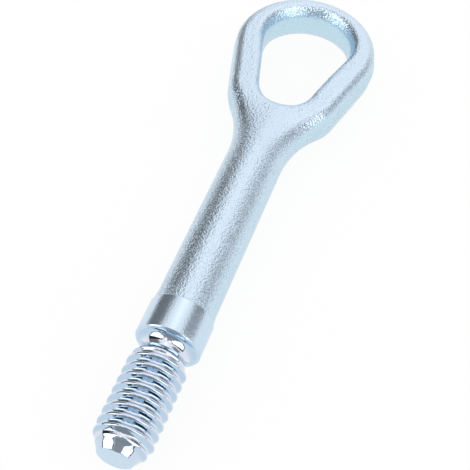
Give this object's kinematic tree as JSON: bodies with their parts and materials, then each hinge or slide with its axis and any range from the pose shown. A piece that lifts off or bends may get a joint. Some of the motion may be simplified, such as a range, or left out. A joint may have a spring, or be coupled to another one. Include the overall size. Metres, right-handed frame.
{
  "type": "tow eye",
  "caption": "Screw-in tow eye: round zinc-plated steel shank with a coarse threaded end, seat shoulder and collar, forking into a closed pear-shaped loop for a tow rope.",
  "frame": {"origin": "centre of the flat seat shoulder, on the shank's axis", "axes": "+X along the shank from the threaded tip to the eye, +Z square to the flat of the eye"},
  "size_m": [0.1737, 0.046, 0.0184],
  "materials": {
    "zinc_plated_steel": "blue-passivated bright zinc plating over shot-blasted forged steel"
  },
  "bodies": {
    "root": {"tow_eye": "zinc_plated_steel"}
  },
  "joints": []
}
